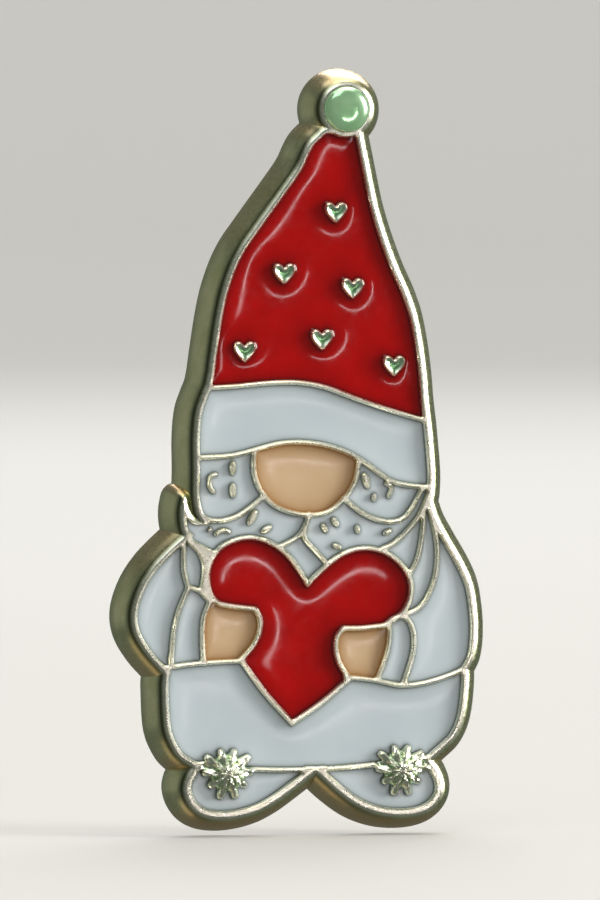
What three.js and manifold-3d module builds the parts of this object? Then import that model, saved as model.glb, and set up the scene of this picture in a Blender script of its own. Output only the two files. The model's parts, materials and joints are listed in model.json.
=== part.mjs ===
// A decorative candle pin in the shape of a gnome that hugs a heart.
//
// One cast metal plate carries every raised metal line, and pools of enamel fill the cells between
// the lines.
// A spike is soldered to the flat back and pushes into the side of a candle.
//
// Outlines are drawn on the plate's own plane as [x, z] points in millimetres, and heights are measured
// forwards from the flat back. The origin is the centre of the spike's root. The front faces -Y.
import * as THREE from "three";
import { mergeVertices } from "three/addons/utils/BufferGeometryUtils.js";
import Module from "manifold-3d";

const wasm = await Module();
wasm.setup();

// Heights above the flat back
const PLATE_THICKNESS = 2.0;
const CELL_FLOOR = 1.3;
const ENAMEL_TOP = 1.8;
const GAP = 0.025;

// The side of the plate bulges out from the front edge as a quarter of an ellipse
const FLANK_BULGE = 0.62;
const FLANK_HEIGHT = 1.9;
const FLANK_SEGMENTS = 3;

// Widths of the raised metal
const RIM = 0.25;
const SLIPPER_RIM = 0.33;
const LINE = 0.22;
const HEART_LINE = 0.24;
const CURL = 0.2;

const SPLINE_DIVISIONS = 2;
const LINE_DIVISIONS = 2;
const ROUND_END_SEGMENTS = 3;
const HEART_DIVISIONS = 4;
const DISC_DIVISIONS = 12;

// The hat's pompom
const POMPOM = { x: 1.85, z: 17.4, radius: 1.12, lineRadius: 1.2 };
const DOME = { radius: 0.98, rise: 0.42, rings: 5, segments: 28 };

// The spike, its flange and the solder, as radii and as distances behind the flat back
const RECESS = { radius: 2.2, depth: 0.15, segments: 36 };
const SPIKE = { radius: 0.55, length: 9.0, point: 1.6, tipRadius: 0.06, segments: 24 };
const FLANGE = { radius: 1.5, thickness: 0.3 };
const SOLDER = { radius: 2.1, rise: 0.12, sag: 0.35 };

// The pieces of the front outline. Each is a list of stretches: smooth through its points, with a
// corner where the next stretch starts. The pieces overlap, and together they make the whole plate.
const HEAD = [
  [[0.9, 16.6], [0.22, 15.95], [-0.25, 15.0], [-0.95, 14.0], [-2.05, 12.5], [-2.9, 11.25],
    [-3.5, 9.7], [-3.84, 8.0], [-4.14, 6.0], [-4.36, 5.35], [-4.62, 4.6], [-4.73, 3.5],
    [-4.72, 2.2], [-4.73, 1.0], [-4.62, 0.35]],
  [[-4.2, -0.4]],
  [[-3.6, -1.6]],
  [[4.6, -1.6]],
  [[5.5, 0.3]],
  [[5.62, 1.0], [5.65, 2.0], [5.5, 3.8], [5.36, 5.0], [5.2, 6.7], [4.78, 8.9], [3.9, 11.0],
    [3.22, 13.0], [2.78, 15.0], [2.45, 16.6]],
];
const SHOULDERS = [
  [[-4.9, -0.45], [-5.4, -0.85], [-6.0, -1.4], [-6.6, -2.05], [-7.12, -2.9], [-7.42, -3.9],
    [-7.3, -4.8], [-6.75, -5.7], [-6.05, -6.45]],
  [[-4.6, -7.4]],
  [[4.6, -7.6]],
  [[7.0, -6.6]],
  [[7.4, -5.9], [7.52, -4.6], [7.33, -3.0], [6.93, -2.0], [6.35, -1.0], [5.82, -0.05], [5.55, 0.75]],
  [[5.3, 0.9]],
  [[4.0, -0.2]],
  [[-4.0, -0.2]],
];
const BODY = [
  [[-5.75, -5.9], [-6.05, -6.6], [-6.07, -7.6], [-5.98, -8.85], [-5.7, -9.6], [-5.33, -10.1],
    [-4.75, -10.45]],
  [[-2.0, -10.62], [0.53, -10.74], [3.0, -10.58], [5.5, -10.3]],
  [[6.1, -9.8], [6.6, -9.3], [6.95, -8.5], [7.12, -7.3], [7.1, -6.3], [6.8, -5.7]],
];
const MOUSTACHE_TIP = [
  [[-5.2, 1.0], [-5.32, 0.3], [-5.22, -0.45], [-4.9, -1.0]],
  [[-4.3, -1.0]],
  [[-4.3, -0.15]],
  [[-4.76, 0.0]],
  [[-5.02, 0.35]],
];
const MOUSTACHE_ROOT = [[[-5.06, 0.1], [-5.0, -0.4]], [[-4.4, -0.9]], [[-4.0, -0.2]], [[-4.7, -0.18]]];
const SLIPPER_LEFT = [
  [[0.53, -10.72], [-0.5, -11.5], [-1.25, -12.02], [-2.1, -12.44], [-3.2, -12.67], [-4.2, -12.6],
    [-4.85, -12.2], [-5.17, -11.5], [-5.05, -10.9], [-4.7, -10.4]],
  [[-4.2, -10.0]],
  [[0.2, -10.0]],
];
const SLIPPER_RIGHT = [
  [[5.4, -10.2], [5.82, -10.7], [6.06, -11.35], [5.93, -11.95], [5.4, -12.45], [4.5, -12.66],
    [3.4, -12.58], [2.4, -12.22], [1.5, -11.6], [0.53, -10.72]],
  [[0.9, -10.0]],
  [[4.8, -9.9]],
];

// The big heart's own edge, inside its metal line, with a bite for each hand
const HEART = [
  [[-2.0, -3.68], [-3.3, -3.5], [-3.82, -3.25], [-4.04, -2.63], [-3.94, -1.9], [-3.55, -1.3],
    [-2.95, -0.98], [-2.28, -0.87], [-1.56, -1.05], [-0.84, -1.52], [-0.24, -2.28], [0.18, -2.93]],
  [[0.6, -2.52], [1.2, -1.98], [1.85, -1.56], [2.64, -1.37], [3.48, -1.52], [4.2, -2.05], [4.56, -2.75],
    [4.5, -3.45], [4.14, -4.04], [3.55, -4.42]],
  [[2.6, -4.52], [1.75, -4.52]],
  [[1.42, -4.85], [1.3, -5.35], [1.36, -5.9], [1.58, -6.4], [1.85, -6.78]],
  [[0.72, -7.72], [-0.45, -8.5]],
  [[-1.55, -7.3], [-2.55, -5.95]],
  [[-2.1, -5.45], [-1.8, -4.85], [-1.76, -4.2], [-2.0, -3.68]],
];

// Raised lines that part one cell from the next, as points along the middle of each line
const LINES = [
  [[-4.6, 5.6], [-3.0, 5.68], [-1.6, 5.8], [-0.2, 5.82], [1.0, 5.6], [2.3, 5.12], [3.6, 4.68],
    [5.5, 4.12]],
  [[-4.9, 2.65], [-3.1, 2.74], [-2.0, 3.0], [-1.0, 3.24], [0.0, 3.28], [1.0, 3.14], [2.0, 2.8],
    [2.9, 2.25], [3.7, 1.68], [4.4, 1.45], [5.8, 1.3]],
  [[-2.1, 2.95], [-2.14, 2.1], [-1.87, 1.28], [-1.25, 0.62], [-0.4, 0.28], [0.4, 0.2],
    [1.15, 0.36], [1.85, 0.95], [2.28, 1.7], [2.42, 2.55]],
  [[-4.75, 0.6], [-4.5, 0.25], [-4.1, 0.03], [-3.55, -0.02], [-2.9, 0.15], [-2.3, 0.52], [-1.72, 1.0]],
  [[1.75, 0.9], [2.5, 0.3], [3.2, -0.02], [3.85, -0.12], [4.4, 0.05], [4.85, 0.65], [5.15, 1.2],
    [5.5, 1.4]],
  [[-5.3, -0.4], [-4.9, -0.85], [-4.45, -1.1], [-3.85, -1.42]],
  [[0.28, 0.25], [0.1, -0.25], [-0.25, -0.75], [-1.0, -1.14]],
  [[0.1, -0.4], [0.05, -0.8], [0.5, -1.3], [1.05, -1.9]],
  [[3.4, -1.3], [4.0, -1.0], [4.55, -0.5], [5.0, 0.05], [5.3, 0.65], [5.5, 1.2]],
  [[5.25, 0.5], [5.22, -0.3], [5.1, -1.2], [4.92, -1.85], [4.6, -2.4]],
  [[5.4, 0.6], [5.68, -0.3], [5.84, -1.3], [5.76, -2.4], [5.45, -3.25], [5.05, -3.8], [4.3, -4.15]],
  [[-5.2, -0.5], [-5.18, -1.3], [-5.17, -2.1], [-4.98, -2.85]],
  [[-4.95, -0.9], [-4.5, -1.35], [-4.3, -1.9], [-4.32, -2.5], [-4.42, -3.05]],
  [[-4.98, -2.85], [-4.5, -2.98], [-4.05, -3.45]],
  [[-4.98, -2.85], [-5.4, -3.85], [-5.62, -4.8], [-5.72, -6.1]],
  [[-4.0, -3.4], [-4.3, -4.1], [-4.37, -5.0], [-4.32, -6.1]],
  [[-6.3, -6.3], [-5.5, -6.18], [-4.3, -6.05], [-2.6, -5.98]],
  [[3.75, -4.4], [3.74, -5.2], [3.55, -6.0], [3.22, -6.85]],
  [[3.6, -4.5], [4.05, -4.2], [4.5, -4.25], [4.78, -4.8], [4.8, -5.6], [4.62, -6.3], [4.35, -7.1]],
  [[1.8, -6.72], [2.5, -6.78], [3.2, -6.88], [4.3, -7.1], [5.3, -7.0], [6.3, -6.72], [7.3, -6.3]],
  [[-5.2, -10.4], [-2.0, -10.6], [0.5, -10.64], [3.0, -10.47], [6.0, -10.1]],
];

// Short raised strokes inside the cells of the hair and the moustache
const CURLS = [
  [[-3.78, 1.95], [-4.02, 1.85], [-4.06, 1.45], [-3.88, 1.2]],
  [[-3.05, 2.45], [-3.05, 1.98]],
  [[-3.05, 1.5], [-3.05, 1.02]],
  [[-2.05, 0.35], [-2.35, -0.15]],
  [[-3.8, -0.6], [-3.5, -0.42], [-3.2, -0.5]],
  [[-1.75, -0.5], [-1.42, -0.3]],
  [[2.65, 1.9], [2.82, 1.35]],
  [[3.1, 1.02], [3.08, 0.82]],
  [[3.6, 1.5], [3.85, 1.35], [3.72, 0.95]],
  [[1.3, 0.02], [1.48, -0.25]],
  [[0.85, -0.25], [1.0, -0.5]],
  [[2.35, -0.32], [2.38, -0.55]],
  [[3.55, -0.62], [3.8, -0.5]],
  [[1.35, -1.1], [1.6, -1.2]],
];

// Centres of the small raised hearts on the hat
const SMALL_HEARTS = [
  [1.42, 13.1], [-0.82, 10.5], [2.15, 9.87], [-2.53, 7.2], [0.82, 7.7], [3.95, 6.57],
];
const SMALL_HEART = { halfWidth: 0.5, top: 0.36, notch: 0.18, point: -0.55, shoulder: 0.12 };

// The fur pompoms on the slippers
const SLIPPER_POMPOMS = [[-3.3, -10.72], [4.25, -10.65]];
const FUR = { tufts: 10, outer: 1.12, inner: 0.74, wobble: 0.1, wobbleTurns: 3, tipAngle: 0.1 };

// Each enamel pool, with a point inside its cell
const RED = 0x9c0a10;
const WHITE = 0xc9d3d4;
const SKIN = 0xd0a778;
const CELLS = {
  hat: [0.3, 9.0, RED],
  brim: [0.0, 4.5, WHITE],
  sideburn_left: [-3.5, 0.6, WHITE],
  sideburn_right: [4.4, 0.7, WHITE],
  nose: [0.0, 1.8, SKIN],
  moustache_left: [-1.4, 0.1, WHITE],
  moustache_right: [3.0, -0.6, WHITE],
  beard_centre: [0.1, -1.6, WHITE],
  beard_left: [-4.75, -2.0, WHITE],
  beard_right_inner: [4.85, -0.9, WHITE],
  beard_right_outer: [5.4, -1.6, WHITE],
  sleeve_left: [-6.3, -3.9, WHITE],
  sleeve_right: [6.2, -4.5, WHITE],
  cuff_left: [-4.95, -4.5, WHITE],
  cuff_right: [4.2, -5.4, WHITE],
  hand_left: [-3.2, -4.8, SKIN],
  hand_right: [2.6, -5.6, SKIN],
  heart: [-0.3, -5.0, RED],
  body: [0.0, -9.5, WHITE],
  slipper_left: [-2.0, -11.6, WHITE],
  slipper_right: [3.2, -12.0, WHITE],
};

// A three.js geometry as a closed solid for joining and cutting.
function solid(geometry) {
  const bare = geometry.clone();
  bare.deleteAttribute("normal");
  bare.deleteAttribute("uv");
  const merged = mergeVertices(bare, 1e-4);
  return new wasm.Manifold(
    new wasm.Mesh({
      numProp: 3,
      vertProperties: merged.attributes.position.array,
      triVerts: new Uint32Array(merged.index.array),
    }),
  );
}

// A closed solid as a three.js geometry.
function geometryOf(body) {
  const { vertProperties, triVerts, numProp } = body.getMesh();
  const geometry = new THREE.BufferGeometry();
  const vertices = new THREE.InterleavedBuffer(vertProperties, numProp);
  geometry.setAttribute("position", new THREE.InterleavedBufferAttribute(vertices, 3, 0));
  geometry.setIndex(new THREE.BufferAttribute(triVerts, 1));
  const flat = geometry.toNonIndexed();
  flat.computeVertexNormals();
  return flat;
}

function join(solids) {
  return solids.reduce((all, one) => all.add(one));
}

// A closed shape from stretches of points.
function outline(stretches) {
  const [start, ...rest] = stretches[0];
  const shape = new THREE.Shape();
  shape.moveTo(...start);
  for (const stretch of [rest, ...stretches.slice(1)]) {
    if (stretch.length === 1) shape.lineTo(...stretch[0]);
    else shape.splineThru(stretch.map(([x, z]) => new THREE.Vector2(x, z)));
  }
  return shape;
}

// The upright prism over a shape, from one height to another, with its outline moved outwards by
// growth.
function prism(shape, low, high, growth = 0, curveSegments = SPLINE_DIVISIONS) {
  const geometry = new THREE.ExtrudeGeometry(shape, {
    depth: high - low,
    curveSegments,
    bevelEnabled: growth !== 0,
    bevelThickness: 0,
    bevelSize: 0,
    bevelOffset: growth,
    bevelSegments: 0,
  });
  return solid(geometry.translate(0, 0, low));
}

// The band between a shape's edge and its edge moved outwards, widened by the clearance on both sides.
function band(shape, low, high, width, clearance) {
  return prism(shape, low, high, width + clearance).subtract(prism(shape, low, high, -clearance));
}

// A strip of even width with round ends along a smooth curve.
function strip(points, width) {
  const curve = new THREE.SplineCurve(points.map(([x, z]) => new THREE.Vector2(x, z)));
  const steps = LINE_DIVISIONS * (points.length - 1);
  const left = [];
  const right = [];
  for (let i = 0; i <= steps; i++) {
    const middle = curve.getPoint(i / steps);
    const tangent = curve.getTangent(i / steps);
    const side = new THREE.Vector2(-tangent.y, tangent.x).multiplyScalar(width / 2);
    left.push(middle.clone().add(side));
    right.unshift(middle.clone().sub(side));
  }
  const endCap = (t, turn) => {
    const middle = curve.getPoint(t);
    const heading = curve.getTangent(t).angle() + turn;
    const cap = [];
    for (let i = 1; i < ROUND_END_SEGMENTS; i++) {
      const angle = heading + Math.PI / 2 - (Math.PI * i) / ROUND_END_SEGMENTS;
      const outwards = new THREE.Vector2(Math.cos(angle), Math.sin(angle));
      cap.push(outwards.multiplyScalar(width / 2).add(middle));
    }
    return cap;
  };
  return new THREE.Shape([...left, ...endCap(1, 0), ...right, ...endCap(0, Math.PI)].reverse());
}

// A small heart with two round lobes.
function smallHeart([x, z]) {
  const { halfWidth, top, notch, point, shoulder } = SMALL_HEART;
  const shape = new THREE.Shape();
  const peak = z + top + shoulder;
  shape.moveTo(x, z + point);
  shape.quadraticCurveTo(x + halfWidth, z - shoulder, x + halfWidth, z + shoulder);
  shape.bezierCurveTo(x + halfWidth, peak, x + shoulder, peak, x, z + notch);
  shape.bezierCurveTo(x - shoulder, peak, x - halfWidth, peak, x - halfWidth, z + shoulder);
  shape.quadraticCurveTo(x - halfWidth, z - shoulder, x, z + point);
  return shape;
}

// A burst of fur: a star of blunt tufts that differ a little in length.
function fur([x, z]) {
  const points = [];
  const add = (reach, angle) => {
    points.push(new THREE.Vector2(x + reach * Math.cos(angle), z + reach * Math.sin(angle)));
  };
  for (let i = 0; i < FUR.tufts; i++) {
    const angle = (2 * Math.PI * i) / FUR.tufts;
    const reach = FUR.outer + FUR.wobble * Math.sin(FUR.wobbleTurns * angle);
    add(reach, angle - FUR.tipAngle);
    add(reach, angle + FUR.tipAngle);
    add(FUR.inner, angle + Math.PI / FUR.tufts);
  }
  return new THREE.Shape(points);
}

function disc(radius) {
  const shape = new THREE.Shape();
  shape.absarc(POMPOM.x, POMPOM.z, radius, 0, 2 * Math.PI);
  return shape;
}

// One piece of the plate with its bulging side, still with a matching bulge behind the back.
function bulgingPiece(shape, curveSegments = SPLINE_DIVISIONS) {
  const straight = PLATE_THICKNESS - FLANK_HEIGHT;
  const geometry = new THREE.ExtrudeGeometry(shape, {
    depth: straight,
    curveSegments,
    bevelThickness: FLANK_HEIGHT,
    bevelSize: FLANK_BULGE,
    bevelSegments: FLANK_SEGMENTS,
  });
  return solid(geometry);
}

// All the metal that stands between the cells, widened by the clearance on every side.
function dividers(low, high, clearance) {
  const wider = (width) => width + 2 * clearance;
  return join([
    ...LINES.map((points) => prism(strip(points, wider(LINE)), low, high)),
    ...CURLS.map((points) => prism(strip(points, wider(CURL)), low, high)),
    band(outline(HEART), low, high, HEART_LINE, clearance),
    ...SMALL_HEARTS.map((centre) => prism(smallHeart(centre), low, high, clearance, HEART_DIVISIONS)),
    ...SLIPPER_POMPOMS.map((centre) => prism(fur(centre), low, high, clearance)),
    prism(disc(POMPOM.lineRadius + clearance), low, high, 0, DISC_DIVISIONS),
  ]);
}

// Everything inside the rim that isn't a divider: the cells, narrowed by the clearance on every side.
function cells(low, high, clearance) {
  const inside = join([
    prism(outline(HEAD), low, high, -RIM - clearance),
    prism(outline(SHOULDERS), low, high, -RIM - clearance),
    prism(outline(BODY), low, high, -RIM - clearance),
    prism(outline(MOUSTACHE_ROOT), low, high, -clearance),
    prism(outline(SLIPPER_LEFT), low, high, -SLIPPER_RIM - clearance),
    prism(outline(SLIPPER_RIGHT), low, high, -SLIPPER_RIM - clearance),
  ]);
  return inside.subtract(dividers(low - 1, high + 1, clearance));
}

function makePlate() {
  const pieces = [HEAD, SHOULDERS, BODY, MOUSTACHE_TIP, SLIPPER_LEFT, SLIPPER_RIGHT];
  const whole = join([
    ...pieces.map((piece) => bulgingPiece(outline(piece))),
    bulgingPiece(disc(POMPOM.radius), DISC_DIVISIONS),
  ]);
  const behind = new THREE.BoxGeometry(60, 60, 20).translate(0, 0, -10);
  const { radius, depth, segments } = RECESS;
  const recess = new THREE.CylinderGeometry(radius, radius, 2 * depth, segments);
  const openings = cells(CELL_FLOOR, PLATE_THICKNESS + 1, 0).decompose();
  return whole
    .subtract(solid(behind))
    .subtract(solid(recess.rotateX(Math.PI / 2)))
    .subtract(join(Object.values(CELLS).map(([x, z]) => pieceAt(openings, x, z))));
}

// The one of several solids that holds the given point.
function pieceAt(pieces, x, z) {
  const probe = solid(new THREE.BoxGeometry(0.05, 0.05, 4).translate(x, z, 0));
  return pieces.find((piece) => piece.intersect(probe).volume() > 0);
}

function makePompomDome() {
  const profile = [new THREE.Vector2(0, 0)];
  for (let i = 0; i <= DOME.rings; i++) {
    const angle = (Math.PI / 2) * (i / DOME.rings);
    profile.push(new THREE.Vector2(DOME.radius * Math.cos(angle), DOME.rise * Math.sin(angle)));
  }
  const dome = new THREE.LatheGeometry(profile, DOME.segments);
  return solid(dome.rotateX(Math.PI / 2).translate(POMPOM.x, POMPOM.z, PLATE_THICKNESS + GAP));
}

// The tack with its flange, standing back from the plate along +Y.
function makeSpike() {
  const root = GAP - RECESS.depth;
  const profile = [
    [0, root],
    [FLANGE.radius, root],
    [FLANGE.radius, root + FLANGE.thickness],
    [SPIKE.radius, root + FLANGE.thickness],
    [SPIKE.radius, SPIKE.length - SPIKE.point],
    [SPIKE.tipRadius, SPIKE.length],
    [0, SPIKE.length],
  ];
  return new THREE.LatheGeometry(profile.map(([r, y]) => new THREE.Vector2(r, y)), SPIKE.segments);
}

// The ring of solder between the flange and the recess.
function makeSolder() {
  const low = GAP - RECESS.depth;
  const inner = FLANGE.radius + GAP;
  const middle = inner + SOLDER.sag * (SOLDER.radius - inner);
  const profile = [
    [inner, low],
    [SOLDER.radius, low],
    [middle, low + SOLDER.sag * (SOLDER.rise - low)],
    [inner, SOLDER.rise],
    [inner, low],
  ];
  return new THREE.LatheGeometry(profile.map(([r, y]) => new THREE.Vector2(r, y)), SPIKE.segments);
}

function mesh(name, geometry, color, roughness, metalness) {
  const material = new THREE.MeshStandardMaterial({ color, roughness, metalness });
  const made = new THREE.Mesh(geometry, material);
  made.name = name;
  return made;
}

// The front turns to face -Y and the flat back lies on the plane y = 0.
const front = new THREE.Group();
front.rotation.x = Math.PI / 2;
front.add(mesh("base_plate", geometryOf(makePlate()), 0xd9d2ad, 0.22, 1));
front.add(mesh("hat_pompom", geometryOf(makePompomDome()), 0x86b47e, 0.15, 0.4));
const pools = cells(CELL_FLOOR + GAP, ENAMEL_TOP, GAP).decompose();
for (const [name, [x, z, color]] of Object.entries(CELLS)) {
  front.add(mesh(name, geometryOf(pieceAt(pools, x, z)), color, 0.12, 0));
}

const gnomePin = new THREE.Group();
gnomePin.add(front);
gnomePin.add(mesh("spike", makeSpike(), 0xc9c6b4, 0.3, 1));
gnomePin.add(mesh("solder", makeSolder(), 0xa9a9a4, 0.5, 1));

export default gnomePin;
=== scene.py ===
"""An enamelled metal candle pin: a gnome in a tall red hat who hugs a heart.

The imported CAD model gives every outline. This script follows those outlines at a finer scale: the raised
metal lines get rounded tops, the enamel climbs the metal around each pool, and the back gets its tack and
solder.
"""
import json
import math

import bmesh
import bpy
import numpy as np
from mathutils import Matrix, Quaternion, Vector, geometry, kdtree


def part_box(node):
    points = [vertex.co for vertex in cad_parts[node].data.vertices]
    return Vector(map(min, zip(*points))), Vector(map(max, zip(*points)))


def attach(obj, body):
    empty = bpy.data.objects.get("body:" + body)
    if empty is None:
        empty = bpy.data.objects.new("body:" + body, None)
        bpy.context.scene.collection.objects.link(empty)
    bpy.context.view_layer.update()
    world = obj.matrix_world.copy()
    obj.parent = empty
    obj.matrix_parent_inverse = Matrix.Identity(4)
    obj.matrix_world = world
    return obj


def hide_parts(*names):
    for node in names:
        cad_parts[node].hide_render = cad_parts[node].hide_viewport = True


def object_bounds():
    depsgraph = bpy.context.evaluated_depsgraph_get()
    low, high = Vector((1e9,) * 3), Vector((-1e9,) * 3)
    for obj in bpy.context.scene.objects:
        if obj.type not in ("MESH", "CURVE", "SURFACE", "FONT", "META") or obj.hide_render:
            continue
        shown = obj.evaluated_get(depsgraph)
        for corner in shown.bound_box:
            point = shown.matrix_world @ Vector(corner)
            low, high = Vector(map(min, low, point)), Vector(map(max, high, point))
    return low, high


MM = 0.001
WELD = 2e-7

# Heights in millimetres in front of the flat back, and the widths over which the metal rounds off
TOP = 2.0
EDGE_DROP = 0.13
EDGE_WIDTH = 0.11
OUTER_DROP = 0.05
OUTER_WIDTH = 0.09
CELL_FLOOR = 1.3
ENAMEL_FLOOR = 1.36
ENAMEL_LEVEL = 1.55
ENAMEL_RISE = 0.2
ENAMEL_REACH = 0.62

# The enamel's surface is solved in steps until it changes less than the limit
SOLVER_STEPS = 250
SOLVER_LIMIT = 1e-16

# Each enamel: its main colour, its painted shade colour against the metal, its clouds, how much painted
# shade it takes over a wider band, and its gloss
ENAMEL_LOOKS = {
    "enamel_red": (
        (0.31, 0.0015, 0.002, 1), (0.035, 0.001, 0.001, 1), (0.12, 0.001, 0.001, 1), 0.45, (0.07, 0.14)),
    "enamel_white": (
        (0.395, 0.45, 0.48, 1), (0.055, 0.07, 0.055, 1), (0.345, 0.40, 0.44, 1), 0.02, (0.15, 0.24)),
    "enamel_skin": (
        (0.48, 0.35, 0.22, 1), (0.22, 0.10, 0.025, 1), (0.40, 0.26, 0.13, 1), 0.65, (0.12, 0.20)),
}

# The painted shade on the enamel fades over these distances from the metal
WALL_SHADE_BAND = 0.07
NEAR_SHADE_BAND = 0.5

# The six small hearts on the hat have a raised edge and a dished middle
HEART_AREA = 0.4
DISH_DEPTH = 0.09
DISH_START = 0.1
DISH_WIDTH = 0.12
DISH_CURVE = 1.5

# The fur pompoms on the slippers: where each sits along its slipper, and how it rises in tufts
FUR_PLACES = {"slipper_left": 0.324, "slipper_right": 0.686}
FUR_BELOW = 0.11
FUR_REACH = 1.3
FUR_RISE = 0.34
FUR_GROOVE = 0.15
FUR_TUFTS = 10
FUR_MIDDLE = 0.5
FUR_FADE = 0.3
FUR_RAGGED = 0.45
FUR_HAIRS = 17
FUR_CURL = 9.0
# How much painted green shade the fur's grooves take
FUR_GROOVE_GREEN = 0.35

# The plate's side, as in the CAD: how far it bulges and how high the bulge stands
FLANK_BULGE = 0.62
FLANK_HEIGHT = 1.9
FLANK_ROUNDNESS = 1.7
FLANK_RINGS = 12
FLANK_SEARCH = 130
NORMAL_PASSES = 10
BACK_EDGE = [(0.612, 0.035), (0.58, 0.0)]

# The dark seam beside the front, and where the plating turns dull
# Painted shade on the metal: a dark band on the side just beside the front, only where the side faces left;
# a painted warm reflection where the side faces up or down; and where the painted shade on the lower metal
# begins
LEFT_SHADE_PLACE = 0.1
LEFT_SHADE_WIDTH = 0.09
LEFT_SHADE_STRENGTH = 1.6
WARM_REFLECTION_FROM = 0.8
SHADE_START = 0.03
SHADE_DEPTH = 0.3
SHADE_BESIDE = 0.06

# The back: its recess, and the facing from which a face belongs to it
RECESS_SIDES = 72
RECESS_ROOM = 0.02
BACK_FACING = 0.9

# The tack: its flange, the fillet to its shank, its grip rings, and its point, measured back from the tip
FLANGE_THICKNESS = 0.3
FILLET = 0.28
SHANK_RADIUS = 0.55
GRIP_RINGS = 3
GRIP_START = 3.4
GRIP_STEP = 0.5
GRIP_DEPTH = 0.07
POINT_SHOULDER = [(0.0, 1.65), (-0.03, 1.5)]
POINT_TIP = [(0.12, 0.14), (0.08, 0.05), (0.04, 0.01), (0.0, 0.0)]
TACK_SIDES = 48

# The solder ring: how uneven it is, and how it rises to the flange
SOLDER_INSET = 0.985
SOLDER_FOOT = 0.04
SOLDER_HOLLOW = 1.8
SOLDER_STEPS = 8
SOLDER_SIDES = 64
SOLDER_RIPPLE = 0.006

# The pompom bead: its squarer shoulder, and how finely it is turned
BEAD_SQUARE = 0.75
BEAD_STEPS = 20
BEAD_SIDES = 72

# How finely the outlines and surfaces are followed, in millimetres
OUTLINE_STEP = 0.03
WALL_STEP = 0.05
CORNER_ANGLE = math.radians(38)
SMOOTHING_PASSES = 3
METAL_ROWS = (0.045, 0.09)
ENAMEL_ROWS = (0.04, 0.09, 0.16)
FINE_GRID = 0.11
COARSE_GRID = 0.24
COARSE_FROM = 1.3
FUR_GRID = 0.06
FINE_FROM = 0.13
SEARCH_CELL = 0.25
SMALLEST_AREA = 0.02
SHORTEST_STEP = 0.02

# Tolerances, in millimetres or square millimetres
PLANE_TOLERANCE = 0.002
NODE_MATCH = 0.2
ON_WALL = 1e-4
ON_AXIS = 1e-9
SLIVER = 1e-7
PARALLEL = 1e-12

# Edges sharper than this many degrees stay sharp
PLATE_SHARP = 35
POOL_SHARP = 50
TURNED_SHARP = 40

# How close the surface's points may come to each other and to a wall, as a share of their own step or row
METAL_SPACING = 0.35
ENAMEL_SPACING = 0.6
GRID_SPACING = 0.7
CLEAR_OF_WALL = 0.93

# The round studio floor and the wall that it sweeps up into, in metres
STUDIO_FLOOR = 0.72
STUDIO_BEND = 0.26
STUDIO_WALL = 0.9
STUDIO_DROP = 0.0002
STUDIO_MIDDLE = 0.3
STUDIO_STEPS = 16
STUDIO_SIDES = 96
STUDIO_COLOUR = (0.36, 0.355, 0.34, 1)
STUDIO_CLOUDING = 0.94
STUDIO_GLOW = 0.7

# The camera: azimuth and elevation in degrees, distance in metres, and the picture's height over the pin's
VIEW = (-12.0, 2.0)
VIEW_DISTANCE = 0.55
VIEW_MARGIN = 1.18

# The contour lights stand on an arc about the direction in which the flat front mirrors the camera, in
# degrees. Each has the same distance, size, radiance and colour.
MIRROR = (12.0, -2.0)
CONTOUR_OFFSET = 10.0
CONTOUR_START = -5.0
CONTOUR_STEP = -28.0
CONTOUR_COUNT = 5
CONTOUR_LIGHT = (0.40, (0.036, 0.012), 14.0, (1.0, 0.88, 0.90))

# The other lights: azimuth and elevation in degrees, distance and size in metres, radiance and colour
LIGHTS = {
    "key": (62, 12, 0.55, (0.16, 0.30), 22.5, (1.0, 0.98, 0.94)),
    "fill": (-28, 48, 0.70, (0.40, 0.30), 2.0, (0.92, 0.97, 1.0)),
    "side": (-128, 6, 0.60, (0.50, 0.40), 0.14, (1.0, 0.92, 0.74)),
    "low": (-95, -48, 0.50, (0.40, 0.30), 0.5, (1.0, 0.70, 0.42)),
    "top": (20, 84, 0.50, (0.30, 0.20), 2.5, (1.0, 0.80, 0.55)),
    "rear": (160, 40, 0.60, (0.40, 0.40), 4.0, (1.0, 1.0, 1.0)),
    "ceiling": (180, 88, 1.50, (1.80, 1.80), 1.6, (1.0, 1.0, 1.0)),
}
LIT_POINT = (0.0, 0.0, 0.003)
WORLD_COLOUR = (0.85, 0.95, 0.85, 1)
WORLD_STRENGTH = 0.15

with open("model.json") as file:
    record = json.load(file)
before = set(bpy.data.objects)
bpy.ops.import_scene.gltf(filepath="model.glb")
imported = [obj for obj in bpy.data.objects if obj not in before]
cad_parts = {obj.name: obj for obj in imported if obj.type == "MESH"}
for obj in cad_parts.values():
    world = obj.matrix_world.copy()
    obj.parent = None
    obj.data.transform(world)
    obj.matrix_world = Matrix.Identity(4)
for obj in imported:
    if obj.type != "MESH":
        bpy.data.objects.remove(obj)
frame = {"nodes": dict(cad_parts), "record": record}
cad_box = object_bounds()


# ---------------------------------------------------------------- outlines from the CAD model

def plate_faces(level):
    """Welded vertices in millimetres as (x, z), and the base plate's triangles on one plane."""
    mesh = frame["nodes"]["base_plate"].data
    points = np.array([v.co[:] for v in mesh.vertices]) / MM
    keys = {}
    index = [keys.setdefault(tuple(np.round(p, 3)), len(keys)) for p in points]
    welded = np.array(list(keys))
    mesh.calc_loop_triangles()
    triangles = []
    for t in mesh.loop_triangles:
        corners = [index[i] for i in t.vertices]
        if all(abs(-welded[c][1] - level) < PLANE_TOLERANCE for c in corners) and len(set(corners)) == 3:
            triangles.append(corners)
    return welded[:, [0, 2]], triangles


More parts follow.
